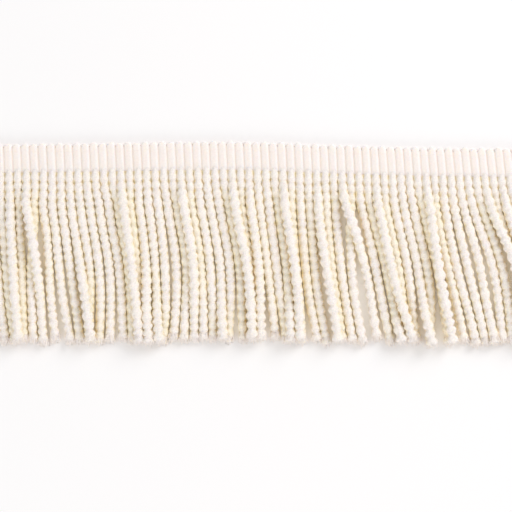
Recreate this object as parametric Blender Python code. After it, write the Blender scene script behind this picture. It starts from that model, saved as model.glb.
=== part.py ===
# A cut length of ivory bullion fringe, lying face up on a table.
# The heading is a narrow ribbed tape. One twisted cord hangs from each of its ribs.
# Metres, +Z up. The origin is on the underside of the heading, halfway along it.
# The cords hang towards -Y, and the heading runs along X.

from collections import namedtuple
from math import cos, pi, radians, sin

import bmesh
import bpy
import numpy as np

MM = 0.001

# Driving sizes
CORD_PITCH = 2.75 * MM        # one rib of the heading, and one cord, every 2.75 mm
CORD_RADIUS = 1.45 * MM       # a cord's corners, from its middle line
CORD_SPACING = 3.05 * MM      # the closest that two cords' middle lines come
ROOT_SPACING = 2.55 * MM      # and at their roots, where the weave crowds them
ROOT_SHARE = 0.2              # the share of a cord's length over which the crowding ends
CORD_LENGTH = 55.0 * MM       # from the heading to the cut end
CORD_STEPS = 26               # steps of 60 degrees in a cord's twist
CORD_SIDES = 3
CUT_SPREAD = 0.7 * MM         # how uneven the cut ends are
SWAY = 0.3 * MM               # a cord's own small waves

HEADING_WIDTH = 9.1 * MM      # from the tips of its edge loops to the cords
STRIP_WIDTH = 1.1 * MM        # the heading's lower border, which the cords grow from
BORDER_GAP = 0.3 * MM         # between the tape and that border
CREST_HEIGHT = 2.1 * MM       # a rib's top
SHOULDER_HEIGHT = 1.9 * MM    # a rib's rounded sides
GROOVE_HEIGHT = 1.5 * MM      # the tape between two ribs
ROOT_HEIGHT = 1.05 * MM       # a cord's middle line where it leaves the border
ROOT_RADIUS = 0.85 * MM
EDGE_LOOP = 0.5 * MM          # how far each rib's loop stands out of the top edge
LOOP_CHANGE = 0.15 * MM       # every other loop stands out this much more
RIB_SLANT = 0.45 * MM         # each rib's foot lies this far along from its top
END_SLANT = 0.5 * MM          # added to that towards the right-hand end
SLANT_FROM = 0.3              # from this share of the half length on
SLANT_OVER = 0.6              # and in full this much further
EASE = 0.8 * MM               # the ribs are drawn this far along at the middle
RIB_SIDE = 0.25               # a rib's shoulder, as a share of the pitch from its crest
LOOP_SIDE = 0.75              # how far a loop stands out at its shoulder, as a share

# How the heading lies: its middle line bows a little on its way along.
BOW_ROUNDING = 9 * MM         # the bow's corners are rounded off over this far each way
BOW_SAMPLES = 9
Bend = namedtuple("Bend", "along across")
HEADING_RUN = [
    Bend(-93 * MM, -0.95 * MM),
    Bend(-48 * MM, -0.40 * MM),
    Bend(-16 * MM, 0.15 * MM),
    Bend(2 * MM, 0.0 * MM),
    Bend(32 * MM, -1.25 * MM),
    Bend(58 * MM, -1.95 * MM),
    Bend(97 * MM, -2.30 * MM),
]

# How the cords lie, in locks that lean together, from left to right.
# cords: one letter a cord, T on top or B beneath its neighbours.
# mids and tips: how far each cord has gone along, in millimetres, a little past halfway down
# and at its cut end.
Lock = namedtuple("Lock", "cords mids tips")
LOCKS = [
    Lock("TTB", (1.6, 1.6, 1.5), (3.5, 4.0, 4.6)),
    Lock("TB", (1.4, 1.4), (3.9, 2.6)),
    Lock("TB", (3.4, -0.9), (5.2, -1.7)),
    Lock("TBT", (1.6, 2.1, 2.9), (3.5, 5.8, 6.9)),
    Lock("TB", (4.1, 3.6), (7.7, 3.7)),
    Lock("T", (4.3,), (4.5,)),
    Lock("TT", (4.6, 5.1), (5.3, 6.5)),
    Lock("BTB", (4.8, 3.8, 2.8), (6.8, 6.6, 4.6)),
    Lock("T", (2.1,), (3.0,)),
    Lock("TB", (2.8, 3.5), (4.1, 2.6)),
    Lock("TTTBT", (4.4, 4.8, 4.2, 3.9, 3.8), (3.3, 3.8, 4.6, 4.6, 4.8)),
    Lock("TB", (4.5, 4.9), (6.0, 3.8)),
    Lock("TTB", (5.0, 4.8, 3.3), (6.4, 7.3, 5.1)),
    Lock("T", (3.0,), (3.6,)),
    Lock("B", (3.4,), (5.6,)),
    Lock("BT", (3.6, 3.7), (7.2, 5.0)),
    Lock("TB", (4.1, 1.8), (5.9, 3.9)),
    Lock("TT", (1.6, 2.1), (5.4, 5.7)),
    Lock("TBB", (3.4, 2.1, 2.3), (7.2, 5.9, 5.8)),
    Lock("TB", (7.3, 0.3), (11.8, 3.7)),
    Lock("BTT", (5.3, 6.0, 5.0), (10.4, 11.1, 11.8)),
    Lock("BTTB", (4.7, 4.6, 5.6, 6.1), (7.5, 8.1, 9.5, 7.1)),
    Lock("BT", (6.3, 4.0), (10.4, 8.2)),
    Lock("TTTT", (4.5, 4.7, 5.8, 6.7), (10.3, 11.8, 11.4, 10.9)),
    Lock("BT", (8.7, 8.3), (12.0, 11.0)),
    Lock("TBTTT", (9.6, 7.6, 8.0, 7.2, 7.7), (13.0, 11.6, 11.9, 11.4, 11.6)),
]
CORDS = sum(len(lock.cords) for lock in LOCKS)
HALF_LENGTH = CORDS * CORD_PITCH / 2
MID = 0.55                    # the share of a cord's length at which its mid lean is stated

# How the cords settle on each other and on the table
SETTLE_PASSES = 240
SPREAD_ROUNDS = 3             # rounds of pushing apart in a pass
LAST_ROUNDS = 80              # and once the cords lie still
FALL = 0.03 * MM              # how far a cord drops in one pass
PULL = 0.15                   # how much of the way back to its own lean a cord goes in one pass
STIFFNESS = 0.3               # how much a cord straightens in one pass
PUSH = 0.45                   # how much of an overlap each of two cords gives way
TOUCHING = 1e-9               # keeps a cord's distance from itself above nothing
SWAYS = 1.3                   # small waves on a cord
SWAY_SEED = 7
CUT_SEED = 11
TOP_START = 3.6 * MM          # the height from which a top cord drops
FOOT_HEIGHT = CORD_RADIUS * sin(radians(60))   # a cord's middle line when it lies on the table


def along_run(x):
    """Where the heading's middle line is, across, at this place along it."""
    return float(np.interp(x, [b.along for b in HEADING_RUN], [b.across for b in HEADING_RUN]))


def across_at(x):
    """The same line with its corners rounded off."""
    places = np.linspace(x - BOW_ROUNDING, x + BOW_ROUNDING, BOW_SAMPLES)
    return sum(along_run(place) for place in places) / BOW_SAMPLES


def rib_foot(index):
    """Where a rib ends and its cord starts, along X. Halves are the grooves between ribs."""
    share = (index + 0.5) / CORDS
    return (share - 0.5) * 2 * HALF_LENGTH + EASE * sin(pi * share)


def slant_at(x):
    """How far a rib's foot lies along from its top."""
    share = min(max((x / HALF_LENGTH - SLANT_FROM) / SLANT_OVER, 0), 1)
    return RIB_SLANT + END_SLANT * share * share * (3 - 2 * share)


def leans():
    """For each cord: is it on top, and how far it has gone along at its middle and at its end."""
    rows = []
    for lock in LOCKS:
        for letter, mid, tip in zip(lock.cords, lock.mids, lock.tips):
            rows.append((letter == "T", mid * MM, tip * MM))
    return rows


def drift(share, mid, tip):
    """A cord's way along X: straight out of its rib, through its mid lean, to its tip."""
    if share < MID:
        start, end, reach = 0.0, mid, MID
        slope_in, slope_out = 0.0, tip
        part = share / MID
    else:
        start, end, reach = mid, tip, 1 - MID
        slope_in, slope_out = tip, (tip - mid) / (1 - MID)
        part = (share - MID) / (1 - MID)
    square, cube = part * part, part * part * part
    return (
        start * (2 * cube - 3 * square + 1)
        + slope_in * reach * (cube - 2 * square + part)
        + end * (3 * square - 2 * cube)
        + slope_out * reach * (cube - square)
    )


def room_at(shares):
    """How close the cords' middle lines may come at these shares of their length."""
    part = np.clip(shares / ROOT_SHARE, 0, 1)
    return ROOT_SPACING + (CORD_SPACING - ROOT_SPACING) * part * part * (3 - 2 * part)


def spread(along, height, room, rounds):
    """Moves cords that are too close at a station apart, and keeps them off the table."""
    for _ in range(rounds):
        dx = along[:, :, None] - along[:, None, :]
        dz = height[:, :, None] - height[:, None, :]
        apart = np.sqrt(dx * dx + dz * dz) + TOUCHING
        push = np.clip(room[:, None, None] - apart, 0, None) * PUSH / apart
        push[:, range(CORDS), range(CORDS)] = 0
        along[1:] += (dx * push).sum(2)[1:]
        height[1:] += (dz * push).sum(2)[1:]
        np.maximum(height[1:], FOOT_HEIGHT, out=height[1:])


def settled():
    """The cords' middle lines as they come to rest: X and Z for each station and each cord."""
    chance = np.random.default_rng(SWAY_SEED)
    shares = np.linspace(0, 1, CORD_STEPS + 1)
    rows = leans()
    feet = np.array([rib_foot(index) for index in range(CORDS)])
    wanted = np.array([[drift(share, mid, tip) for _, mid, tip in rows] for share in shares])
    phase = chance.uniform(0, 2 * pi, CORDS)
    waves = np.sin(2 * pi * SWAYS * shares[:, None] + phase) - np.sin(phase)
    wanted += feet + SWAY * waves * shares[:, None]
    on_top = np.array([top for top, _, _ in rows])
    along = wanted.copy()
    height = np.where(on_top, TOP_START, FOOT_HEIGHT) * np.ones_like(along)
    along[0], height[0] = feet, ROOT_HEIGHT
    for _ in range(SETTLE_PASSES):
        height[1:] -= FALL
        along[1:] += PULL * (wanted - along)[1:]
        for line in (along, height):
            line[1:-1] += STIFFNESS * (line[:-2] - 2 * line[1:-1] + line[2:])
        spread(along, height, room_at(shares), SPREAD_ROUNDS)
    spread(along, height, room_at(shares), LAST_ROUNDS)
    return shares, along, height


def material(name, colour, roughness):
    """A plain dyed-yarn finish."""
    made = bpy.data.materials.new(name)
    made.use_nodes = True
    shader = made.node_tree.nodes["Principled BSDF"]
    shader.inputs["Base Color"].default_value = (*colour, 1)
    shader.inputs["Roughness"].default_value = roughness
    shader.inputs["Metallic"].default_value = 0
    return made


def solid(name, points, faces, finish):
    """One closed body from its points and faces, with its faces turned outwards."""
    mesh = bpy.data.meshes.new(name)
    mesh.from_pydata(points, [], faces)
    shape = bmesh.new()
    shape.from_mesh(mesh)
    bmesh.ops.recalc_face_normals(shape, faces=shape.faces)
    shape.to_mesh(mesh)
    shape.free()
    mesh.materials.append(finish)
    made = bpy.data.objects.new(name, mesh)
    bpy.context.scene.collection.objects.link(made)
    return made


def heading(finish):
    """The ribbed tape: its section across the ribs, carried from its lower border to the looped top edge."""
    section = []
    for index in range(CORDS):
        section.append((index - 0.5, GROOVE_HEIGHT, 0.0))
        section.append((index - RIB_SIDE, SHOULDER_HEIGHT, LOOP_SIDE))
        section.append((index, CREST_HEIGHT, 1.0))
        section.append((index + RIB_SIDE, SHOULDER_HEIGHT, LOOP_SIDE))
    section.append((CORDS - 0.5, GROOVE_HEIGHT, 0.0))
    rows = {"low foot": [], "high foot": [], "high top": [], "low top": []}
    for index, height, crest in section:
        foot = rib_foot(index)
        top = foot - slant_at(foot)
        stands_out = EDGE_LOOP + LOOP_CHANGE * (round(index) % 2)
        foot_y = across_at(foot) - HEADING_WIDTH / 2 + STRIP_WIDTH + BORDER_GAP
        top_y = across_at(top) + HEADING_WIDTH / 2 - EDGE_LOOP + stands_out * crest
        rows["low foot"].append((foot, foot_y, 0.0))
        rows["high foot"].append((foot, foot_y, height))
        rows["high top"].append((top, top_y, height))
        rows["low top"].append((top, top_y, 0.0))
    points = [point for row in rows.values() for point in row]
    count = len(section)
    faces = []
    for row in range(4):
        here, there = row * count, (row + 1) % 4 * count
        for step in range(count - 1):
            faces.append((here + step, here + step + 1, there + step + 1, there + step))
    for end in (0, count - 1):
        faces.append(tuple(row * count + end for row in range(4)))
    return solid("heading", points, faces, finish)


def ring(centre, way, radius, turn):
    """A cord's corners at one station, upright and square to its way."""
    side = np.array([-way[1], way[0], 0]) / np.hypot(way[0], way[1])
    angles = [turn + 2 * pi * corner / CORD_SIDES for corner in range(CORD_SIDES)]
    return [centre + radius * (side * cos(angle) + np.array([0, 0, sin(angle)])) for angle in angles]


def cord_points(index, shares, along, height, foot_y, cut):
    """The rings of one twisted cord, from its root in the border to its cut end."""
    reach = along[-1, index] - along[0, index]
    drop = (cut**2 - reach**2) ** 0.5
    lines = np.column_stack([along[:, index], foot_y - drop * shares, height[:, index]])
    ways = np.gradient(lines, axis=0)
    rings = []
    for step, (centre, way) in enumerate(zip(lines, ways)):
        radius, facing = (ROOT_RADIUS, (0, -1, 0)) if step == 0 else (CORD_RADIUS, way)
        rings.append(ring(centre, facing, radius, step * pi / CORD_SIDES))
    return rings


def skirt(finish):
    """The heading's lower border with a cord grown from each rib's end: one body."""
    chance = np.random.default_rng(CUT_SEED)
    shares, along, height = settled()
    points, faces = [], []

    def add(point):
        points.append(tuple(point))
        return len(points) - 1

    def border(index, level):
        """The front and back points of the border at a groove or a crest."""
        x = rib_foot(index)
        front = across_at(x) - HEADING_WIDTH / 2
        return add((x, front, level)), add((x, front + STRIP_WIDTH, level))

    low = [border(index - 0.5, 0.0) for index in range(CORDS + 1)]
    groove = [border(index - 0.5, GROOVE_HEIGHT) for index in range(CORDS + 1)]
    crest = [border(index, CREST_HEIGHT) for index in range(CORDS)]
    for index in range(CORDS):
        (foot_l, back_foot_l), (foot_r, back_foot_r) = low[index], low[index + 1]
        (top_l, back_top_l), (top_r, back_top_r) = groove[index], groove[index + 1]
        peak, back_peak = crest[index]
        faces.append((foot_l, back_foot_l, back_foot_r, foot_r))
        faces.append((top_l, peak, back_peak, back_top_l))
        faces.append((peak, top_r, back_top_r, back_peak))
        faces.append((back_foot_l, back_top_l, back_peak, back_top_r, back_foot_r))
        cut = CORD_LENGTH + chance.uniform(-CUT_SPREAD, CUT_SPREAD)
        foot_y = across_at(along[0, index]) - HEADING_WIDTH / 2
        rings = cord_points(index, shares, along, height, foot_y, cut)
        ids = [[add(point) for point in corners] for corners in rings]
        right, high, low_left = ids[0]
        faces += [(foot_l, foot_r, low_left), (foot_r, right, low_left), (foot_r, top_r, right)]
        faces += [(top_r, peak, right), (peak, high, right), (peak, top_l, high)]
        faces += [(top_l, foot_l, high), (foot_l, low_left, high)]
        for near, far in zip(ids, ids[1:]):
            for corner in range(CORD_SIDES):
                following = (corner + 1) % CORD_SIDES
                faces.append((near[corner], near[following], far[corner]))
                faces.append((near[following], far[following], far[corner]))
        faces.append(tuple(ids[-1]))
    for end in (0, CORDS):
        faces.append((low[end][0], low[end][1], groove[end][1], groove[end][0]))
    return solid("skirt", points, faces, finish)


def main():
    for thing in list(bpy.data.objects):
        bpy.data.objects.remove(thing, do_unlink=True)
    heading(material("Heading yarn", (0.93, 0.88, 0.80), 0.85))
    skirt(material("Cord yarn", (0.93, 0.87, 0.76), 0.9))


main()
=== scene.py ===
# A cut length of ivory bullion fringe, lying face up under a soft studio light.
# The order is that of its making: the ribbed heading, the cords, their cut ends, the loose fibres.
from collections import namedtuple
from math import cos, pi, radians, sin

import bpy
import numpy as np
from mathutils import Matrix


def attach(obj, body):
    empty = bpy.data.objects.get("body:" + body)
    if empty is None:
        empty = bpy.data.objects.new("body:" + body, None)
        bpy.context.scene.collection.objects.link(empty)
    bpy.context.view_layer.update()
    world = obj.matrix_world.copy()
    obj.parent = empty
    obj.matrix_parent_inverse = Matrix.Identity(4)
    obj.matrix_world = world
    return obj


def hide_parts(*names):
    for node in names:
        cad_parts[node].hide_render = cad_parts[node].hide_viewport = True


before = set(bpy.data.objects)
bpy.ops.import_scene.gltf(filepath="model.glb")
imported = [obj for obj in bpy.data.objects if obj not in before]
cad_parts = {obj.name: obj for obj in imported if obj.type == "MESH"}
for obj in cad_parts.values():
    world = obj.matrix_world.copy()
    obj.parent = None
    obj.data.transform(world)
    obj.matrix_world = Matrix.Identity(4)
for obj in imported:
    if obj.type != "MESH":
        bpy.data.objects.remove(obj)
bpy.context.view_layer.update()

MM = 0.001


# Heading
# A narrow tape woven of fine ivory yarn. Its thick weft runs up and down in close ribs and turns
# back in a small loop at the top edge. Two stitched lines hold the ribs flat.
CORD_PITCH = 2.75 * MM
CORDS = 64
HALF_LENGTH = CORDS * CORD_PITCH / 2
HEADING_WIDTH = 9.1 * MM
CREST_HEIGHT = 2.1 * MM       # a rib's top
GROOVE_HEIGHT = 1.75 * MM     # the tape between two ribs
EDGE_LOOP = 0.5 * MM          # how far each rib's loop stands out of the plain tape's top edge
LOOP_CHANGE = 0.15 * MM       # every other loop stands out this much more
LOOP_FULLNESS = 1.9           # the soft loops stand out this many times as far
LOOP_ROUNDING = 0.8           # 0.5 would be a half circle
RIB_SLANT = 0.45 * MM         # each rib's foot lies this far along from its top
END_SLANT = 0.5 * MM          # added to that towards the right-hand end
SLANT_FROM = 0.3              # from this share of the half length on
SLANT_OVER = 0.6              # and in full this much further
EASE = 0.8 * MM               # the ribs are drawn this far along at the middle
BOW_ROUNDING = 9 * MM         # the bow's corners are rounded off over this far each way
BOW_SAMPLES = 9
RIB_COLUMNS = 12              # mesh columns to a rib
RIB_SQUARENESS = 5            # how flat a rib's top is and how narrow the groove
NOTCH_DEPTH = 0.30 * MM       # how much deeper a groove gets at the cords
NOTCH_REACH = 0.08            # over this share of the tape's width
EDGE_NOTCH = 0.85 * MM        # and at the top edge, between two loops
EDGE_REACH = 0.93             # from this share of the tape's width on
STITCH_DIP = 0.07 * MM        # how deep the stitched lines press in
STITCH_LINES = (0.115, 0.72)  # where they run, as shares of the tape's width
STITCH_WIDTH = 0.022
# painted shade in the pressed-in stitched lines
STITCH_PAINTED_SHADE = 0.05
UNEVEN = 0.05 * MM            # how much the ribs and the loops differ
HEADING_SEED = 3
RIB_PAINTED_SHADE = 0.36               # how much painted shade a rib has away from its painted highlight line
SHINE_PLACE = 0.55            # that painted highlight line, from the rib's middle to its right-hand groove
SHINE_WIDTH = 0.3
RIB_FADE = (0.9, 1.0)         # the shares of the width between which that painted shade fades
GROOVE_FROM = 0.7             # a groove's painted shade starts this far from a rib's middle
GROOVE_PAINTED_SHADE = 0.4             # how strong that painted shade is along the tape
GROOVE_SHADE_ADDED = 0.6           # how much more painted shade is added next to the cords and at the top edge
FOOT_FADE = (0.03, 0.1)       # the shares of the width between which the one ends
EDGE_RISE = (0.96, 1.0)       # and the other starts
# the tape's yarn in full light, and its painted shade colour, towards which random tone also leans
HEADING_LIT = (0.955, 0.893, 0.870, 1)
HEADING_SHADE_AND_TONE = (0.90, 0.765, 0.675, 1)
THREAD_WANDER = 1.4           # how far the fibres pull a yarn's threads aside
FIBRE_HEIGHT = 1.2            # how high the fibres stand, against the threads

Bend = namedtuple("Bend", "along across")
HEADING_RUN = [
    Bend(-93 * MM, -0.95 * MM),
    Bend(-48 * MM, -0.40 * MM),
    Bend(-16 * MM, 0.15 * MM),
    Bend(2 * MM, 0.0 * MM),
    Bend(32 * MM, -1.25 * MM),
    Bend(58 * MM, -1.95 * MM),
    Bend(97 * MM, -2.30 * MM),
]
# The tape's section: the share of its width from the cords to the top edge, and of its thickness.
Edge = namedtuple("Edge", "width height")
SECTION = [Edge(0.03, 0.0), Edge(0.0, 0.2), Edge(0.0, 0.55)]
SECTION += [Edge(0.012, 0.78), Edge(0.03, 0.91), Edge(0.06, 0.97)]
SECTION += [Edge(share, 1.0) for share in np.linspace(0.10, 0.93, 32)]
SECTION += [Edge(0.955, 0.97), Edge(0.975, 0.88), Edge(0.99, 0.72)]
SECTION += [Edge(1.0, 0.5), Edge(0.995, 0.28), Edge(0.975, 0.08)]
SECTION += [Edge(0.95, 0.0), Edge(0.65, 0.0), Edge(0.35, 0.0)]


def along_run(x):
    """Where the heading's middle line is, across, at this place along it."""
    return np.interp(x, [b.along for b in HEADING_RUN], [b.across for b in HEADING_RUN])


def across_at(x):
    """The same line with its corners rounded off."""
    steps = np.linspace(-BOW_ROUNDING, BOW_ROUNDING, BOW_SAMPLES)
    return sum(along_run(x + step) for step in steps) / BOW_SAMPLES


def rib_foot(index):
    """Where a rib ends and its cord starts, along X. Halves are the grooves between ribs."""
    share = (index + 0.5) / CORDS
    return (share - 0.5) * 2 * HALF_LENGTH + EASE * np.sin(pi * share)


def slant_at(x):
    """How far a rib's foot lies along from its top."""
    share = np.clip((x / HALF_LENGTH - SLANT_FROM) / SLANT_OVER, 0, 1)
    return RIB_SLANT + END_SLANT * share * share * (3 - 2 * share)


def smoothstep(low, high, value):
    """0 below low, 1 above high, and a soft step between them."""
    share = np.clip((value - low) / (high - low), 0, 1)
    return share * share * (3 - 2 * share)


def tubes(name, rings, turns, painted_shade_and_tone):
    """One mesh of closed tubes, from points by tube, ring and side, with a UV map and each point's painted
    shade and tone.
    """
    count, lengths, sides, _ = rings.shape
    ids = np.arange(count * lengths * sides).reshape(count, lengths, sides)
    near, far = ids[:, :-1], ids[:, 1:]
    quads = np.stack([near, np.roll(near, -1, 2), np.roll(far, -1, 2), far], -1).reshape(-1, 4)
    caps = np.concatenate([ids[:, 0, ::-1], ids[:, -1]])
    mesh = bpy.data.meshes.new(name)
    mesh.from_pydata(rings.reshape(-1, 3).tolist(), [], quads.tolist() + caps.tolist())
    across = np.arange(sides) / sides
    here, there = turns[:, :-1, None], turns[:, 1:, None]
    u = [across + 0 * here[..., 0], across + 1 / sides + 0 * here[..., 0]]
    v = [here[..., 1] + 0 * across, there[..., 1] + 0 * across]
    corners = [
        (u[0] + here[..., 0], v[0]),
        (u[1] + here[..., 0], v[0]),
        (u[1] + there[..., 0], v[1]),
        (u[0] + there[..., 0], v[1]),
    ]
    quad_uv = np.stack([np.stack(corner, -1) for corner in corners], -2).reshape(-1, 2)
    cap_uv = np.zeros((caps.size, 2))
    layer = mesh.uv_layers.new(name="UVMap")
    layer.uv.foreach_set("vector", np.concatenate([quad_uv, cap_uv]).astype(np.float32).ravel())
    shade = mesh.attributes.new("painted_shade_and_tone", "FLOAT", "POINT")
    shade.data.foreach_set("value", painted_shade_and_tone.astype(np.float32).ravel())
    mesh.shade_smooth()
    made = bpy.data.objects.new(name, mesh)
    bpy.context.scene.collection.objects.link(made)
    return made


def yarn_tone_and_shade():
    """Shared by all the yarns: painted shade turns deep places warm, and the dye in the fibres is uneven,
    lighter and darker at random.
    """
    group = bpy.data.node_groups.new("Yarn tone and painted shade", "ShaderNodeTree")
    for name, kind in (("Lit", "Color"), ("Shade and tone colour", "Color"), ("Depth", "Float"), ("Speckle", "Float")):
        group.interface.new_socket(name, in_out="INPUT", socket_type="NodeSocket" + kind)
    group.interface.new_socket("Color", in_out="OUTPUT", socket_type="NodeSocketColor")
    nodes, links = group.nodes, group.links
    given, out = nodes.new("NodeGroupInput"), nodes.new("NodeGroupOutput")
    place = nodes.new("ShaderNodeTexCoord")
    fine, broad = nodes.new("ShaderNodeTexNoise"), nodes.new("ShaderNodeTexNoise")
    fine.inputs["Scale"].default_value = 2200
    fine.inputs["Detail"].default_value = 3
    broad.inputs["Scale"].default_value = 260
    broad.inputs["Detail"].default_value = 2
    tone = nodes.new("ShaderNodeMix")
    tone.data_type = "RGBA"
    patch, grain = nodes.new("ShaderNodeMapRange"), nodes.new("ShaderNodeMapRange")
    bright = nodes.new("ShaderNodeMath")
    patch.inputs["From Min"].default_value = 0.3
    patch.inputs["From Max"].default_value = 0.7
    patch.inputs["To Min"].default_value = 0.0
    patch.inputs["To Max"].default_value = 0.1
    total = nodes.new("ShaderNodeMath")
    total.operation = "ADD"
    total.use_clamp = True
    grain.inputs["From Min"].default_value = 0.3
    grain.inputs["From Max"].default_value = 0.7
    bright.operation = "MULTIPLY_ADD"
    bright.inputs[2].default_value = 1.0
    centred = nodes.new("ShaderNodeMath")
    centred.operation = "SUBTRACT"
    centred.inputs[1].default_value = 0.5
    scaled = nodes.new("ShaderNodeVectorMath")
    scaled.operation = "SCALE"
    links.new(place.outputs["Object"], fine.inputs["Vector"])
    links.new(place.outputs["Object"], broad.inputs["Vector"])
    links.new(broad.outputs["Fac"], patch.inputs["Value"])
    links.new(given.outputs["Depth"], total.inputs[0])
    links.new(patch.outputs["Result"], total.inputs[1])
    links.new(total.outputs["Value"], tone.inputs["Factor"])
    links.new(given.outputs["Lit"], tone.inputs["A"])
    links.new(given.outputs["Shade and tone colour"], tone.inputs["B"])
    links.new(fine.outputs["Fac"], grain.inputs["Value"])
    links.new(grain.outputs["Result"], centred.inputs[0])
    links.new(centred.outputs["Value"], bright.inputs[0])
    links.new(given.outputs["Speckle"], bright.inputs[1])
    links.new(tone.outputs["Result"], scaled.inputs["Vector"])
    links.new(bright.outputs["Value"], scaled.inputs["Scale"])
    links.new(scaled.outputs["Vector"], out.inputs["Color"])
    return group


def yarn_relief():
    """Shared by all the yarns: the height of the threads that lie side by side, and of their fibres."""
    group = bpy.data.node_groups.new("Yarn relief", "ShaderNodeTree")
    group.interface.new_socket("Threads", in_out="INPUT", socket_type="NodeSocketFloat")
    group.interface.new_socket("Height", in_out="OUTPUT", socket_type="NodeSocketFloat")
    nodes, links = group.nodes, group.links
    given, out = nodes.new("NodeGroupInput"), nodes.new("NodeGroupOutput")
    lie = nodes.new("ShaderNodeUVMap")
    lie.uv_map = "UVMap"
    split = nodes.new("ShaderNodeSeparateXYZ")
    place, fibre = nodes.new("ShaderNodeTexCoord"), nodes.new("ShaderNodeTexNoise")
    fibre.inputs["Scale"].default_value = 1700
    fibre.inputs["Detail"].default_value = 4
    wander = nodes.new("ShaderNodeMath")
    wander.operation = "MULTIPLY_ADD"
    wander.inputs[1].default_value = THREAD_WANDER
    times, wave, high, total = (nodes.new("ShaderNodeMath") for _ in range(4))
    times.operation = "MULTIPLY"
    wave.operation = "SINE"
    high.operation = "ABSOLUTE"
    total.operation = "MULTIPLY_ADD"
    total.inputs[1].default_value = FIBRE_HEIGHT
    links.new(lie.outputs["UV"], split.inputs["Vector"])
    links.new(split.outputs["X"], times.inputs[0])
    links.new(given.outputs["Threads"], times.inputs[1])
    links.new(place.outputs["Object"], fibre.inputs["Vector"])
    links.new(fibre.outputs["Fac"], wander.inputs[0])
    links.new(times.outputs["Value"], wander.inputs[2])
    links.new(wander.outputs["Value"], wave.inputs[0])
    links.new(wave.outputs["Value"], high.inputs[0])
    links.new(fibre.outputs["Fac"], total.inputs[0])
    links.new(high.outputs["Value"], total.inputs[2])
    links.new(total.outputs["Value"], out.inputs["Height"])
    return group


YARN_TONE_AND_SHADE = yarn_tone_and_shade()
YARN_RELIEF = yarn_relief()


def yarn_finish(name, lit, deep, speckle, threads, relief, roughness, inner):
    """Matt dyed yarn: soft, a little translucent, with a faint halo of fibres."""
    made = bpy.data.materials.new(name)
    made.use_nodes = True
    nodes, links = made.node_tree.nodes, made.node_tree.links
    shader = nodes["Principled BSDF"]
    shader.inputs["Roughness"].default_value = roughness
    shader.inputs["Specular IOR Level"].default_value = 0.2
    shader.inputs["Sheen Weight"].default_value = 0.12
    shader.inputs["Sheen Roughness"].default_value = 0.6
    shader.inputs["Subsurface Weight"].default_value = inner
    shader.inputs["Subsurface Radius"].default_value = (1.0, 0.85, 0.65)
    shader.inputs["Subsurface Scale"].default_value = 1.6 * MM
    shade_and_tone_attribute = nodes.new("ShaderNodeAttribute")
    shade_and_tone_attribute.attribute_name = "painted_shade_and_tone"
    tone, height = nodes.new("ShaderNodeGroup"), nodes.new("ShaderNodeGroup")
    tone.node_tree, height.node_tree = YARN_TONE_AND_SHADE, YARN_RELIEF
    # lit is the yarn's colour in full light; deep is its painted shade colour, which random tone also leans
    # towards
    tone.inputs["Lit"].default_value = lit
    tone.inputs["Shade and tone colour"].default_value = deep
    tone.inputs["Speckle"].default_value = speckle
    height.inputs["Threads"].default_value = threads
    bump = nodes.new("ShaderNodeBump")
    bump.inputs["Distance"].default_value = relief
    bump.inputs["Strength"].default_value = 0.6
    links.new(shade_and_tone_attribute.outputs["Fac"], tone.inputs["Depth"])
    links.new(tone.outputs["Color"], shader.inputs["Base Color"])
    links.new(height.outputs["Height"], bump.inputs["Height"])
    links.new(bump.outputs["Normal"], shader.inputs["Normal"])
    return made


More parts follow.
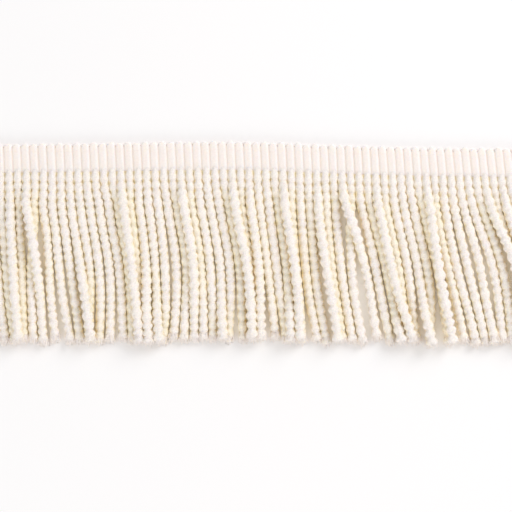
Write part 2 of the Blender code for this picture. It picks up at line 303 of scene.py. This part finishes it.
def heading():
    """The ribbed tape, as one tube along X whose rings go round the tape's section."""
    chance = np.random.default_rng(HEADING_SEED)
    column = np.arange(CORDS * RIB_COLUMNS + 1) / RIB_COLUMNS - 0.5
    rib = np.clip(np.round(column), 0, CORDS - 1).astype(int)
    side = np.abs(column - rib) * 2
    crest = (1 - side**RIB_SQUARENESS)[:, None]
    width = np.array([edge.width for edge in SECTION])[None]
    share = np.array([edge.height for edge in SECTION])[None]
    foot = rib_foot(column)[:, None]
    x = foot - slant_at(foot) * width
    x = x + (chance.normal(0, UNEVEN, CORDS)[rib] * (1 - side**2))[:, None] * np.sin(pi * width)
    notch = NOTCH_DEPTH * (1 - smoothstep(0, NOTCH_REACH, width)) * (side**2)[:, None]
    notch = notch + EDGE_NOTCH * smoothstep(EDGE_REACH, 1, width) * (side**2)[:, None]
    low = GROOVE_HEIGHT - notch
    high = CREST_HEIGHT + chance.normal(0, UNEVEN / 2, CORDS)[rib][:, None]
    dips = sum(np.exp(-(((width - line) / STITCH_WIDTH) ** 2)) for line in STITCH_LINES)
    z = share * (low + (high - low) * crest - STITCH_DIP * dips)
    loop = LOOP_FULLNESS * (EDGE_LOOP + LOOP_CHANGE * (rib % 2)) + chance.normal(0, UNEVEN, CORDS)[rib]
    loop = loop * np.clip(1 - side**2, 0, 1) ** LOOP_ROUNDING
    front = across_at(foot) - HEADING_WIDTH / 2
    back = across_at(foot) + HEADING_WIDTH / 2 - EDGE_LOOP + loop[:, None]
    y = front + (back - front) * width
    rings = np.stack(np.broadcast_arrays(x, y, z), -1)[None]
    turns = np.stack([np.zeros(len(column)), column], -1)[None]
    # painted highlight along a line near each rib's right-hand groove, painted shade away from it, in the
    # grooves, deepest next to the cords and at the top edge, and in the stitched lines
    shine = np.exp(-((((column - rib) * 2 - SHINE_PLACE) / SHINE_WIDTH) ** 2))[:, None]
    ends = 1 - smoothstep(*FOOT_FADE, width) + smoothstep(*EDGE_RISE, width)
    painted_shade_and_tone = RIB_PAINTED_SHADE * (1 - shine) * (1 - smoothstep(*RIB_FADE, width))
    grooves = smoothstep(GROOVE_FROM, 1.0, side)[:, None] * (GROOVE_PAINTED_SHADE + GROOVE_SHADE_ADDED * ends)
    painted_shade_and_tone = np.clip(painted_shade_and_tone + grooves + STITCH_PAINTED_SHADE * dips, 0, 1)
    made = tubes("heading_tape", rings, turns, painted_shade_and_tone[None])
    layer = made.data.uv_layers["UVMap"]
    corner = np.empty(len(made.data.loops), dtype=np.int32)
    made.data.loops.foreach_get("vertex_index", corner)
    lie = np.broadcast_arrays((column + 0.5)[:, None], width * HEADING_WIDTH / CORD_PITCH)
    lie = np.stack(lie, -1).reshape(-1, 2)
    layer.uv.foreach_set("vector", lie[corner].astype(np.float32).ravel())
    made.data.materials.append(yarn_finish(
        "Heading yarn", HEADING_LIT, HEADING_SHADE_AND_TONE,
        speckle=0.05, threads=6 * pi, relief=0.05 * MM, roughness=0.85, inner=0.4,
    ))
    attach(made, "root")
    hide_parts("heading")


heading()


# Cords
# Each cord is two soft plies of fine ivory yarn twisted on each other, caught in the weave at its
# root. The cords lie in locks that lean to the right and partly cover one another.
CORD_SPACING = 3.05 * MM      # the closest that two cords' middle lines come
ROOT_SPACING = 2.55 * MM      # and at their roots, where the weave crowds them
ROOT_SHARE = 0.2              # the share of a cord's length over which the crowding ends
CORD_LENGTH = 55.0 * MM       # from the heading to the cut end
CORD_STEPS = 26               # steps from station to station of a settling cord
CUT_SPREAD = 0.7 * MM         # how uneven the cut ends are
SWAY = 0.3 * MM               # a cord's own small waves
CAD_RADIUS = 1.45 * MM        # the plain strand's corners, from its middle line
ROOT_HEIGHT = 1.05 * MM       # a cord's middle line where it leaves the heading
MID = 0.55                    # the share of a cord's length at which its mid lean is stated
SETTLE_PASSES = 240
SPREAD_ROUNDS = 3             # rounds of pushing apart in a pass
LAST_ROUNDS = 80              # and once the cords lie still
FALL = 0.03 * MM              # how far a cord drops in one pass
PULL = 0.15                   # how much of the way back to its own lean a cord goes in one pass
STIFFNESS = 0.3               # how much a cord straightens in one pass
PUSH = 0.45                   # how much of an overlap each of two cords gives way
TOUCHING = 1e-9               # keeps a cord's distance from itself above nothing
SWAYS = 1.3                   # small waves on a cord
SWAY_SEED = 7
CUT_SEED = 11
TOP_START = 3.6 * MM          # the height from which a top cord drops
FOOT_HEIGHT = CAD_RADIUS * sin(radians(60))   # a cord's middle line when it lies on the table

TWIST = 5.85 * MM             # one whole turn of a ply
TWIST_SPREAD = 0.05           # how much that differs from cord to cord
TWIST_START = pi / 2          # at the first waist under the tape one ply lies on the other
FIRST_WAIST = 0.3 * MM
TWIST_UNEVEN = 0.3            # how far the turn strays at the root, and
TWIST_WANDER = 0.7            # once the cord has run for
TWIST_KEPT = 14 * MM
TWIST_WAVES = (23 * MM, 11 * MM)
TWIST_SEED = 21
THREAD_TURN = 0.9             # how much of a cord's turn its threads follow
PLY_OFFSET = 0.57 * MM        # a ply's middle, from the cord's
PLY_RADIUS = 0.99 * MM
PLY_MERGE = 0.15              # a slack stretch has its plies this much closer, and as much fuller
SLACK_WAVES = (31 * MM, 13 * MM)
CREASE = 0.25                 # how much of the crease between the plies shows through the soft pile
FULL_SPREAD = 0.05            # how uneven a cord's thickness is
FULL_WAVES = (17 * MM, 7 * MM, 4.3 * MM)
FUZZ = 0.065 * MM             # how rough its pile is
OPEN_PILE = 0.15              # a cord that lies on the others is this much fuller
LOW_RISE = 0.8 * MM           # that starts this far above a plain cord's line on the table
HIGH_RISE = 2.4 * MM          # and is complete here
END_SWELL = 0.1               # a cord opens this much above its cut
SWELL_FROM = 3 * MM           # from here
SWELL_FULL = 1 * MM           # to here
END_PINCH = 0.35              # and its tube closes by this much within its brush of ends
PINCH_FROM = 0.9 * MM
WEB = 1.49 * MM               # how far the soft pile fills in towards a neighbour, low on its flank
WEB_HIGH = 0.15               # the fill starts at this height, as a share of the cord's own
WEB_LOW = -0.12               # and is complete here
WEB_SHADED_FROM = 0.25 * MM        # where it fills in more than this, it has a gap's full painted shade
TABLE_GAP = 0.02 * MM         # the cords, their ends and their fibres come no closer to the table
CORD_RINGS = 160
CORD_SIDES = 24
LIFT = 0.30 * MM              # the soft cord's middle is this much higher than the plain one's
ROOT_LIFT = 0.05 * MM         # and at its root
ROOT_TUCK = 1.8 * MM          # how far a root reaches in under the tape
ROOT_SINK = 0.45 * MM         # its end dips this far into the tape
ROOT_SIZE = 0.80              # how thick it is there
ROOT_REACH = 3.4 * MM         # and how far on it has its whole thickness
ROOT_FILL = 0.4               # the crowded roots fill in this much higher up their flanks
CROWN_FROM = 0.3              # a root's waists are filled above this height, as a share
CROWN_FULL = 0.9              # and wholly above this one
NEAR = 3.2 * MM               # neighbours this close leave no light between them
FAR = 5.2 * MM
COVER_FROM = 0.3 * MM         # a cord is in another's shade once that one lies this much higher
COVER_FULL = 2.4 * MM
CREASE_PAINTED_SHADE = 0.05            # how much painted shade lies in the crease between the plies
GROOVE_EDGE = 0.35
FLANK_PAINTED_SHADE = 0.3              # painted shade on a flank that faces a close neighbour
FLANK_FROM = 0.5
FLANK_FULL = 0.95
UNDER_FROM = 0.1              # painted shade on the underside, from this height down
UNDER_FULL = -0.6
SUNK_PAINTED_SHADE = 0.35              # painted shade under another cord
WARM_TINT = 0.07              # the cords are this much warmer than the tape
CORDS_A_PIECE = 16
# the cords' yarn in full light, and its warm painted shade colour, which the cut ends also lean towards at
# random
CORD_LIT = (0.950, 0.879, 0.865, 1)
CORD_SHADE_AND_TONE = (1.0, 0.893, 0.62, 1)

# cords: one letter a cord, T on top or B beneath. mids, tips: how far each cord has gone along,
# in millimetres, a little past halfway down and at its cut end. Left to right.
Lock = namedtuple("Lock", "cords mids tips")
LOCKS = [
    Lock("TTB", (1.6, 1.6, 1.5), (3.5, 4.0, 4.6)),
    Lock("TB", (1.4, 1.4), (3.9, 2.6)),
    Lock("TB", (3.4, -0.9), (5.2, -1.7)),
    Lock("TBT", (1.6, 2.1, 2.9), (3.5, 5.8, 6.9)),
    Lock("TB", (4.1, 3.6), (7.7, 3.7)),
    Lock("T", (4.3,), (4.5,)),
    Lock("TT", (4.6, 5.1), (5.3, 6.5)),
    Lock("BTB", (4.8, 3.8, 2.8), (6.8, 6.6, 4.6)),
    Lock("T", (2.1,), (3.0,)),
    Lock("TB", (2.8, 3.5), (4.1, 2.6)),
    Lock("TTTBT", (4.4, 4.8, 4.2, 3.9, 3.8), (3.3, 3.8, 4.6, 4.6, 4.8)),
    Lock("TB", (4.5, 4.9), (6.0, 3.8)),
    Lock("TTB", (5.0, 4.8, 3.3), (6.4, 7.3, 5.1)),
    Lock("T", (3.0,), (3.6,)),
    Lock("B", (3.4,), (5.6,)),
    Lock("BT", (3.6, 3.7), (7.2, 5.0)),
    Lock("TB", (4.1, 1.8), (5.9, 3.9)),
    Lock("TT", (1.6, 2.1), (5.4, 5.7)),
    Lock("TBB", (3.4, 2.1, 2.3), (7.2, 5.9, 5.8)),
    Lock("TB", (7.3, 0.3), (11.8, 3.7)),
    Lock("BTT", (5.3, 6.0, 5.0), (10.4, 11.1, 11.8)),
    Lock("BTTB", (4.7, 4.6, 5.6, 6.1), (7.5, 8.1, 9.5, 7.1)),
    Lock("BT", (6.3, 4.0), (10.4, 8.2)),
    Lock("TTTT", (4.5, 4.7, 5.8, 6.7), (10.3, 11.8, 11.4, 10.9)),
    Lock("BT", (8.7, 8.3), (12.0, 11.0)),
    Lock("TBTTT", (9.6, 7.6, 8.0, 7.2, 7.7), (13.0, 11.6, 11.9, 11.4, 11.6)),
]


def leans():
    """For each cord: is it on top, and how far it has gone along at its middle and at its end."""
    rows = []
    for lock in LOCKS:
        for letter, mid, tip in zip(lock.cords, lock.mids, lock.tips):
            rows.append((letter == "T", mid * MM, tip * MM))
    return rows


def drift(share, mid, tip):
    """A cord's way along X: straight out of its rib, through its mid lean, to its tip."""
    if share < MID:
        start, end, reach = 0.0, mid, MID
        slope_in, slope_out = 0.0, tip
        part = share / MID
    else:
        start, end, reach = mid, tip, 1 - MID
        slope_in, slope_out = tip, (tip - mid) / (1 - MID)
        part = (share - MID) / (1 - MID)
    square, cube = part * part, part * part * part
    return (
        start * (2 * cube - 3 * square + 1)
        + slope_in * reach * (cube - 2 * square + part)
        + end * (3 * square - 2 * cube)
        + slope_out * reach * (cube - square)
    )


def room_at(shares):
    """How close the cords' middle lines may come at these shares of their length."""
    part = np.clip(shares / ROOT_SHARE, 0, 1)
    return ROOT_SPACING + (CORD_SPACING - ROOT_SPACING) * part * part * (3 - 2 * part)


def spread(along, height, room, rounds):
    """Moves cords that are too close at a station apart, and keeps them off the table."""
    for _ in range(rounds):
        dx = along[:, :, None] - along[:, None, :]
        dz = height[:, :, None] - height[:, None, :]
        apart = np.sqrt(dx * dx + dz * dz) + TOUCHING
        push = np.clip(room[:, None, None] - apart, 0, None) * PUSH / apart
        push[:, range(CORDS), range(CORDS)] = 0
        along[1:] += (dx * push).sum(2)[1:]
        height[1:] += (dz * push).sum(2)[1:]
        np.maximum(height[1:], FOOT_HEIGHT, out=height[1:])


def settled():
    """The cords' middle lines as they come to rest: X and Z for each station and each cord."""
    chance = np.random.default_rng(SWAY_SEED)
    shares = np.linspace(0, 1, CORD_STEPS + 1)
    rows = leans()
    feet = np.array([rib_foot(index) for index in range(CORDS)])
    wanted = np.array([[drift(share, mid, tip) for _, mid, tip in rows] for share in shares])
    phase = chance.uniform(0, 2 * pi, CORDS)
    waves = np.sin(2 * pi * SWAYS * shares[:, None] + phase) - np.sin(phase)
    wanted += feet + SWAY * waves * shares[:, None]
    on_top = np.array([top for top, _, _ in rows])
    along = wanted.copy()
    height = np.where(on_top, TOP_START, FOOT_HEIGHT) * np.ones_like(along)
    along[0], height[0] = feet, ROOT_HEIGHT
    for _ in range(SETTLE_PASSES):
        height[1:] -= FALL
        along[1:] += PULL * (wanted - along)[1:]
        for line in (along, height):
            line[1:-1] += STIFFNESS * (line[:-2] - 2 * line[1:-1] + line[2:])
        spread(along, height, room_at(shares), SPREAD_ROUNDS)
    spread(along, height, room_at(shares), LAST_ROUNDS)
    return shares, along, height


def closeness(along, height):
    """From 0 to 1: how near a cord's neighbours lie, left and right, and how deep it lies under one."""
    dx = along[:, None, :] - along[:, :, None]
    dz = height[:, None, :] - height[:, :, None]
    apart = np.hypot(dx, dz)
    right = np.where(dx > 0, apart, 1).min(2)
    left = np.where(dx < 0, apart, 1).min(2)
    sunk = smoothstep(FAR, NEAR / 2, np.abs(dx)) * smoothstep(COVER_FROM, COVER_FULL, dz)
    return smoothstep(FAR, NEAR, left), smoothstep(FAR, NEAR, right), sunk.max(2)


def finer(line, count):
    """A smooth line through a cord's stations, read at evenly spaced places."""
    places = np.linspace(0, len(line) - 1, count)
    first = np.minimum(places.astype(int), len(line) - 2)
    part = (places - first)[:, None]
    before, here = line[np.maximum(first - 1, 0)], line[first]
    there, after = line[first + 1], line[np.minimum(first + 2, len(line) - 1)]
    square, cube = part**2, part**3
    ends = here * (2 * cube - 3 * square + 1) + there * (3 * square - 2 * cube)
    return ends + (there - before) / 2 * (cube - 2 * square + part) + (after - here) / 2 * (cube - square)


def directions(line):
    """For each point of a line: its way, what lies to its side and what lies above it."""
    way = np.gradient(line, axis=0)
    way /= np.linalg.norm(way, axis=1)[:, None]
    side = np.cross((0, 0, 1), way)
    side /= np.linalg.norm(side, axis=1)[:, None]
    return way, side, np.cross(way, side)


def slow_waves(chance, run, lengths):
    """Uneven slow waves between -1 and 1 along a cord."""
    waves = (np.sin(2 * pi * run / length + chance.uniform(0, 2 * pi)) for length in lengths)
    return sum(waves) / len(lengths)


def cord_line(index, along, height, shares, cut):
    """A cord's middle line, from under the tape to its cut end."""
    reach = along[-1, index] - along[0, index]
    drop = (cut**2 - reach**2) ** 0.5
    front = across_at(along[0, index]) - HEADING_WIDTH / 2
    lift = ROOT_LIFT + (LIFT - ROOT_LIFT) * smoothstep(0, ROOT_SHARE, shares)
    line = np.column_stack([along[:, index], front - drop * shares, height[:, index] + lift])
    tuck = line[0] + (0, ROOT_TUCK, -ROOT_SINK)
    return np.vstack([tuck, line])


def two_plies(angle, offset, radius):
    """How far the joint outline of two round plies reaches from the cord's middle, this way round."""
    return offset * np.abs(np.cos(angle)) + np.sqrt(radius**2 - (offset * np.sin(angle)) ** 2)


def twisted(line, near_left, near_right, beneath, chance):
    """Rings, UV turns and painted shade of one cord: the joint outline of two plies that turn about each
    other.
    """
    line = finer(line, CORD_RINGS)
    _, side, up = directions(line)
    steps = np.linalg.norm(np.diff(line, axis=0), axis=1)
    run = np.concatenate([[0], np.cumsum(steps)])
    twist = TWIST * (1 + TWIST_SPREAD * chance.uniform(-1, 1))
    wander = TWIST_WANDER * slow_waves(chance, run, TWIST_WAVES) * smoothstep(0, TWIST_KEPT, run)
    turn = TWIST_START + 2 * pi * (run - ROOT_TUCK - FIRST_WAIST) / twist
    turn = turn + TWIST_UNEVEN * chance.normal() + wander
    full = 1 + FULL_SPREAD * slow_waves(chance, run, FULL_WAVES)
    full = full * (1 + OPEN_PILE * smoothstep(LOW_RISE, HIGH_RISE, line[:, 2] - FOOT_HEIGHT))
    soft = 0.5 + 0.5 * slow_waves(chance, run, SLACK_WAVES)
    grow = ROOT_SIZE + (1 - ROOT_SIZE) * smoothstep(0, ROOT_REACH, run)
    cut = run[-1]
    close = 1 + END_SWELL * smoothstep(cut - SWELL_FROM, cut - SWELL_FULL, run)
    close = close - END_PINCH * smoothstep(cut - PINCH_FROM, cut, run)
    stations = np.linspace(0, 1, CORD_RINGS) * (len(near_left) - 1)
    knots = np.arange(len(near_left))
    left, right, sunk = (
        np.interp(stations, knots, row)[:, None] for row in (near_left, near_right, beneath)
    )
    around = np.linspace(0, 2 * pi, CORD_SIDES, endpoint=False)[None]
    angle = turn[:, None] + around
    sideways, upward = np.cos(angle), np.sin(angle)
    merge = PLY_MERGE * PLY_OFFSET * soft[:, None]
    offset, radius = PLY_OFFSET - merge, PLY_RADIUS + merge
    out = CREASE * two_plies(around, offset, radius) + (1 - CREASE) * two_plies(turn[:, None], offset, radius)
    out = out * (full * grow * close)[:, None] + chance.normal(0, FUZZ, (CORD_RINGS, CORD_SIDES))
    rooted = (1 - smoothstep(ROOT_TUCK, ROOT_TUCK + ROOT_REACH, run))[:, None]
    crown = smoothstep(CROWN_FROM, CROWN_FULL, upward) * rooted
    out = out + np.clip((PLY_OFFSET + PLY_RADIUS) * grow[:, None] - out, 0, None) * crown
    higher = ROOT_FILL * rooted
    web = smoothstep(WEB_HIGH + higher, WEB_LOW + higher, upward) * np.where(sideways > 0, right, left)
    filled = np.clip(WEB * close[:, None] - out, 0, None) * web
    out = out + filled
    points = line[:, None] + (out * sideways)[..., None] * side[:, None]
    points = points + (out * upward)[..., None] * up[:, None]
    points[..., 2] = np.maximum(points[..., 2], TABLE_GAP)
    # painted shade in the crease between the plies, on flanks next to a close neighbour, on the underside,
    # under a higher cord and in the filled waists; the warm tint is the cords' own colour
    groove = smoothstep(GROOVE_EDGE, 0, np.abs(np.cos(around)))
    flank = smoothstep(FLANK_FROM, FLANK_FULL, sideways) * right
    flank = flank + smoothstep(FLANK_FROM, FLANK_FULL, -sideways) * left
    under = smoothstep(UNDER_FROM, UNDER_FULL, upward) + WARM_TINT
    painted_shade_and_tone = CREASE_PAINTED_SHADE * groove + FLANK_PAINTED_SHADE * flank + SUNK_PAINTED_SHADE * sunk + under
    painted_shade_and_tone = np.clip(painted_shade_and_tone + smoothstep(0, WEB_SHADED_FROM, filled), 0, 1)
    return points, np.column_stack([run / twist * THREAD_TURN, run / TWIST]), painted_shade_and_tone


shares, along, height = settled()
lefts, rights, sinks = closeness(along, height)
cut_chance = np.random.default_rng(CUT_SEED)
cuts = [CORD_LENGTH + cut_chance.uniform(-CUT_SPREAD, CUT_SPREAD) for _ in range(CORDS)]
lines = [cord_line(index, along, height, shares, cuts[index]) for index in range(CORDS)]
cord_finish = yarn_finish(
    "Cord yarn", CORD_LIT, CORD_SHADE_AND_TONE,
    speckle=0.16, threads=9 * pi, relief=0.10 * MM, roughness=0.9, inner=0.2,
)
twist_chance = np.random.default_rng(TWIST_SEED)
for first in range(0, CORDS, CORDS_A_PIECE):
    rings, turns, painted_shades_and_tones = [], [], []
    for index in range(first, first + CORDS_A_PIECE):
        around_it = [np.append(rows[0, index], rows[:, index]) for rows in (lefts, rights, sinks)]
        made = twisted(lines[index], *around_it, twist_chance)
        rings.append(made[0])
        turns.append(made[1])
        painted_shades_and_tones.append(made[2])
    piece = tubes(f"cords_{first // CORDS_A_PIECE + 1}", np.array(rings), np.array(turns), np.array(painted_shades_and_tones))
    piece.data.materials.append(cord_finish)
    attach(piece, "root")
    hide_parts("skirt")


# Cut ends
# Below the knife each ply opens into its yarns, a soft blunt brush a little wider than the cord.
# They are ends of the cords' own yarn, and bend down onto the table.
ENDS_A_CORD = 104
END_RINGS = 4
END_SIDES = 4
END_RADIUS = 0.21 * MM
END_RADII = (0.45, 1.3)       # the thinnest and the thickest, as shares of that
END_LENGTH = 2.9 * MM
END_LENGTHS = (0.85, 1.12)    # the shortest and the longest, as shares of that
END_ROUND = 0.3               # and the outermost are this much shorter
END_BACK = 2.3 * MM           # they leave the plies this far above the cut
END_SPREAD = 1.25 * MM        # the outermost start this far from the cord's middle
END_INMOST = 0.15             # the least draw for how far out an end starts
END_CROWDING = 0.6            # the power that the draw is raised to, so that more start far out
END_OPEN = 0.24               # how far they lean outwards
END_OPENS = (0.5, 1.4)        # the least and the most, as shares of that
END_STRAY = 0.07              # how much their ways differ
END_BEND = 0.12               # how much they curl
END_DROOP = (0, 0, -0.12)     # and sink towards the table
END_TINTS = (0, 0.15)         # the palest and the deepest colour
END_SEED = 31
END_LIT = (0.960, 0.893, 0.875, 1)
HAIR_THINNING = 0.55          # a hair is this much thinner at its tip
HAIR_HELPER = (0.3, 0.2, 0.93)   # a direction along which hardly any hair runs


def hairs(starts, ways, bends, lengths, radii, rings, sides):
    """Short bent tubes that thin towards their ends."""
    share = np.linspace(0, 1, rings)[None, :, None]
    span = lengths[:, None, None]
    line = starts[:, None] + span * (ways[:, None] * share + bends[:, None] * share**2)
    tangent = ways[:, None] + 2 * bends[:, None] * share
    tangent /= np.linalg.norm(tangent, axis=2)[..., None]
    helper = np.broadcast_to(np.array(HAIR_HELPER), tangent.shape)
    side = np.cross(helper, tangent)
    side /= np.linalg.norm(side, axis=2)[..., None]
    up = np.cross(tangent, side)
    angle = np.linspace(0, 2 * pi, sides, endpoint=False)[None, None, :, None]
    thick = (radii[:, None, None] * (1 - HAIR_THINNING * share**2))[..., None]
    return line[:, :, None] + thick * (np.cos(angle) * side[:, :, None] + np.sin(angle) * up[:, :, None])


def hair_turns(count, rings):
    """UV turns for hairs: straight threads along them."""
    return np.stack([np.zeros((count, rings)), np.tile(np.linspace(0, 1, rings), (count, 1))], -1)


end_chance = np.random.default_rng(END_SEED)
starts, ways, bends, outs = [], [], [], []
for line in lines:
    way, side, up = directions(finer(line, CORD_RINGS))
    foot = line[-1] - way[-1] * END_BACK
    for _ in range(ENDS_A_CORD):
        angle = end_chance.uniform(0, 2 * pi)
        out = end_chance.uniform(END_INMOST, 1.0) ** END_CROWDING
        aside = side[-1] * cos(angle) + up[-1] * sin(angle)
        outs.append(out)
        starts.append(foot + aside * out * END_SPREAD)
        lean = aside * out * END_OPEN * end_chance.uniform(*END_OPENS) + end_chance.normal(0, END_STRAY, 3)
        ways.append(way[-1] + lean)
        bends.append(end_chance.normal(0, END_BEND, 3) + END_DROOP)
starts, ways, bends = np.array(starts), np.array(ways), np.array(bends)
ends_count = len(starts)
lengths = END_LENGTH * end_chance.uniform(*END_LENGTHS, ends_count) * (1 - END_ROUND * np.array(outs) ** 2)
radii = END_RADIUS * end_chance.uniform(*END_RADII, ends_count)
end_rings = hairs(starts, ways, bends, lengths, radii, END_RINGS, END_SIDES)
end_rings[..., 2] = np.maximum(end_rings[..., 2], TABLE_GAP)
end_depth = end_chance.uniform(*END_TINTS, ends_count)[:, None, None] * np.ones(end_rings.shape[:3])
cut_ends = tubes("cut_ends", end_rings, hair_turns(ends_count, END_RINGS), end_depth)
cut_ends.data.materials.append(yarn_finish(
    "Cut yarn ends", END_LIT, CORD_SHADE_AND_TONE,
    speckle=0.06, threads=4 * pi, relief=0.02 * MM, roughness=0.95, inner=0.1,
))
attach(cut_ends, "root")
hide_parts("skirt")


# Loose fibres
# Spun yarn sheds: single fibres stand a little off the cords all along them. Each is a fibre of
# the cord's own yarn, still caught in its twist at one end.
FIBRES_A_CORD = 56
FIBRE_RINGS = 4
FIBRE_SIDES = 3
FIBRE_RADIUS = 0.028 * MM
FIBRE_LENGTH = 2.0 * MM
FIBRE_LENGTHS = (0.4, 1.1)    # the shortest and the longest, as shares of that
FIBRE_FIRST = 12              # the first of a cord's rings that sheds
FIBRE_BELOW = 0.3             # how far they start below the cord's widest line, in radians
FIBRE_START = 1.35 * MM       # and from the cord's middle
FIBRE_OUT = (0.15, 0.6)       # the least and the most that they stand off
FIBRE_ALONG = 0.7             # how far they run along the cord
FIBRE_STRAY = 0.2
FIBRE_BEND = 0.4
FIBRE_DROOP = (0, 0, -0.15)
FIBRE_SEED = 41

fibre_chance = np.random.default_rng(FIBRE_SEED)
starts, ways, bends = [], [], []
for line in lines:
    fine = finer(line, CORD_RINGS)
    way, side, up = directions(fine)
    for _ in range(FIBRES_A_CORD):
        ring = fibre_chance.integers(FIBRE_FIRST, CORD_RINGS)
        angle = fibre_chance.uniform(-FIBRE_BELOW, pi + FIBRE_BELOW)
        aside = side[ring] * cos(angle) + up[ring] * sin(angle)
        starts.append(fine[ring] + aside * FIBRE_START)
        lean = aside * fibre_chance.uniform(*FIBRE_OUT) + way[ring] * fibre_chance.normal(0, FIBRE_ALONG)
        ways.append(lean + fibre_chance.normal(0, FIBRE_STRAY, 3))
        bends.append(fibre_chance.normal(0, FIBRE_BEND, 3) + FIBRE_DROOP)
starts, ways, bends = np.array(starts), np.array(ways), np.array(bends)
fibre_count = len(starts)
lengths = FIBRE_LENGTH * fibre_chance.uniform(*FIBRE_LENGTHS, fibre_count)
radii = np.full(fibre_count, FIBRE_RADIUS)
fibre_rings = hairs(starts, ways, bends, lengths, radii, FIBRE_RINGS, FIBRE_SIDES)
fibre_rings[..., 2] = np.maximum(fibre_rings[..., 2], TABLE_GAP)
fibre_depth = np.zeros(fibre_rings.shape[:3])
loose_fibres = tubes("loose_fibres", fibre_rings, hair_turns(fibre_count, FIBRE_RINGS), fibre_depth)
loose_fibres.data.materials.append(yarn_finish(
    "Loose fibre", CORD_LIT, CORD_SHADE_AND_TONE,
    speckle=0.05, threads=pi, relief=0.005 * MM, roughness=0.9, inner=0.0,
))
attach(loose_fibres, "root")
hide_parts("skirt")


# Table, light and camera
# A plain white table under two broad soft lights, one from the back right and a weaker one from
# the front, with even light all round.
# The camera looks straight down, as for a catalogue page.
PIXEL = 0.325 * MM
FRAME_PIXELS = 512
HEADING_ROW = 157.5           # the heading's middle line, in rows from the top of the frame
VIEW_SHIFT = 1.75 * MM
LIGHT_BOUNCES = 12            # pale yarn passes the light on many times between two cords
LENS = 100
SENSOR = 36
TABLE_SIZE = 6
LIGHT_TARGET = (0, -0.03, 0)  # the middle of the trim

bpy.ops.object.select_all(action="DESELECT")
bpy.ops.mesh.primitive_plane_add(size=TABLE_SIZE, location=(0, 0, 0))
table = bpy.context.object
table.name = "table"
white = bpy.data.materials.new("White table")
white.use_nodes = True
white_nodes = white.node_tree.nodes
white_nodes["Principled BSDF"].inputs["Roughness"].default_value = 0.8
white_nodes["Principled BSDF"].inputs["Specular IOR Level"].default_value = 0.1
haze = white_nodes.new("ShaderNodeTexNoise")
haze.inputs["Scale"].default_value = 3
haze_place = white_nodes.new("ShaderNodeTexCoord")
haze_tone = white_nodes.new("ShaderNodeMix")
haze_tone.data_type = "RGBA"
haze_tone.inputs["A"].default_value = (0.945, 0.930, 0.930, 1)
haze_tone.inputs["B"].default_value = (0.94, 0.926, 0.926, 1)
white.node_tree.links.new(haze_place.outputs["Object"], haze.inputs["Vector"])
white.node_tree.links.new(haze.outputs["Fac"], haze_tone.inputs["Factor"])
white.node_tree.links.new(haze_tone.outputs["Result"], white_nodes["Principled BSDF"].inputs["Base Color"])
table.data.materials.append(white)


def softbox(name, place, size, power):
    """A square area light that faces the middle of the trim."""
    bpy.ops.object.light_add(type="AREA", location=place)
    made = bpy.context.object
    made.name = name
    made.data.shape = "SQUARE"
    made.data.size = size
    made.data.energy = power
    away = np.array(place) - LIGHT_TARGET
    made.rotation_euler = (np.arctan2(np.hypot(away[0], away[1]), away[2]), 0, np.arctan2(away[0], -away[1]))


softbox("key", place=(0.80, 0.60, 0.75), size=0.7, power=7.2)
softbox("fill", place=(-0.30, -1.05, 0.55), size=0.7, power=4.0)
sky = bpy.data.worlds.new("studio")
sky.use_nodes = True
sky.node_tree.nodes["Background"].inputs["Color"].default_value = (1.0, 1.0, 1.0, 1)
sky.node_tree.nodes["Background"].inputs["Strength"].default_value = 0.70
bpy.context.scene.world = sky
bpy.context.scene.cycles.diffuse_bounces = LIGHT_BOUNCES
bpy.context.scene.view_settings.view_transform = "Standard"

middle = (HEADING_ROW - FRAME_PIXELS / 2) * PIXEL
distance = FRAME_PIXELS * PIXEL * LENS / SENSOR
bpy.ops.object.camera_add(location=(VIEW_SHIFT, middle, distance), rotation=(0, 0, 0))
camera = bpy.context.object
camera.data.lens = LENS
camera.data.sensor_width = SENSOR
camera.data.clip_start = 0.01
bpy.context.scene.camera = camera
